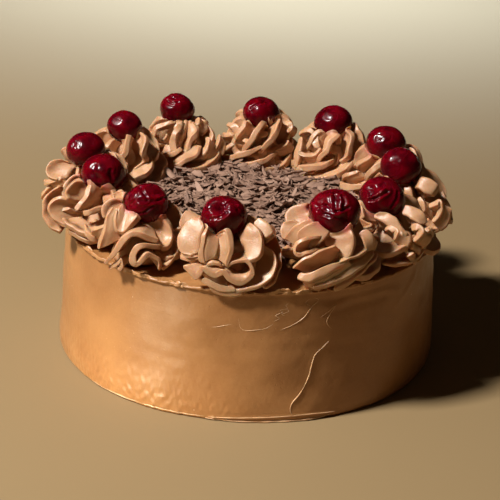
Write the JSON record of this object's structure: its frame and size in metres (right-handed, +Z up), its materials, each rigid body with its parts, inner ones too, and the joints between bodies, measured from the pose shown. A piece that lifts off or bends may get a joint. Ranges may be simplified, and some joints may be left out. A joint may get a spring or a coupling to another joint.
{
  "type": "black forest cake",
  "caption": "Whole round cream-coated cake with a ring of piped swirls, a cherry on each, and a bed of chocolate shavings in the middle.",
  "frame": {"origin": "centre of the cake's flat underside", "axes": "+Z up through the cake; -Y towards the viewer, +X to the viewer's right"},
  "size_m": [0.2215, 0.2204, 0.1142],
  "materials": {
    "coat_cream": "smooth spread chocolate cream, satin",
    "swirl_cream": "piped chocolate cream, satin",
    "cherry_skin": "wet dark red cherry skin, glossy",
    "shaved_chocolate": "dry shaved dark chocolate, matt"
  },
  "bodies": {
    "root": {"cake_body": "coat_cream", "swirl_01": "swirl_cream", "swirl_02": "swirl_cream", "swirl_03": "swirl_cream", "swirl_04": "swirl_cream", "swirl_05": "swirl_cream", "swirl_06": "swirl_cream", "swirl_07": "swirl_cream", "swirl_08": "swirl_cream", "swirl_09": "swirl_cream", "swirl_10": "swirl_cream", "swirl_11": "swirl_cream", "swirl_12": "swirl_cream", "cherry_01": "cherry_skin", "cherry_02": "cherry_skin", "cherry_03": "cherry_skin", "cherry_04": "cherry_skin", "cherry_05": "cherry_skin", "cherry_06": "cherry_skin", "cherry_07": "cherry_skin", "cherry_08": "cherry_skin", "cherry_09": "cherry_skin", "cherry_10": "cherry_skin", "cherry_11": "cherry_skin", "cherry_12": "cherry_skin", "chocolate_shavings": "shaved_chocolate"}
  },
  "joints": []
}
